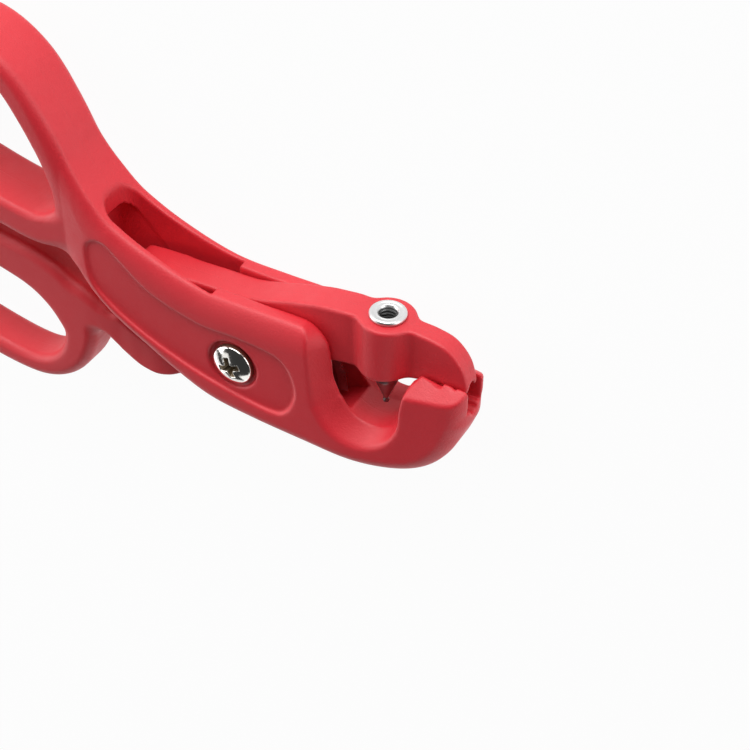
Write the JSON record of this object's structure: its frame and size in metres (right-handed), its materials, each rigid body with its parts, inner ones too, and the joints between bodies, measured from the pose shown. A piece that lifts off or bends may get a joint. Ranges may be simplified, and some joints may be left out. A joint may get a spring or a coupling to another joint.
{
  "type": "drip tubing cutter and punch tool",
  "caption": "Scissor-handled plastic hand tool that cuts small irrigation tubing, punches holes in hose with a screw-in punch and grips barbed fittings in its nose.",
  "frame": {"origin": "middle of the tool's outline in plan, on the plane of the far cheek it lies on", "axes": "+X towards the nose, +Y up in the side view, +Z along the pivot axis towards the screw's head"},
  "size_m": [0.1428, 0.0786, 0.0159],
  "materials": {
    "body_plastic": "satin moulded",
    "lever_plastic": "satin moulded",
    "screw_chrome": "polished",
    "insert_steel": "nickel plated",
    "plain_steel": "plain",
    "punch_steel": "dark polished",
    "blade_steel": "ground"
  },
  "bodies": {
    "body": {"main_body": "body_plastic", "pivot_screw": "screw_chrome", "pivot_nut": "plain_steel"},
    "lever": {"jaw_lever": "lever_plastic", "pivot_bush": "plain_steel", "cutter_blade": "blade_steel", "blade_pins": "plain_steel", "punch_insert": "insert_steel", "punch_tip": "punch_steel"}
  },
  "joints": [
    {"name": "jaw_hinge", "type": "hinge", "parent": "body", "child": "lever", "pos_m": [0.02617, -0.01345, 0.00775], "axis": [0, 0, 1], "range_deg": [-3, 28]}
  ]
}
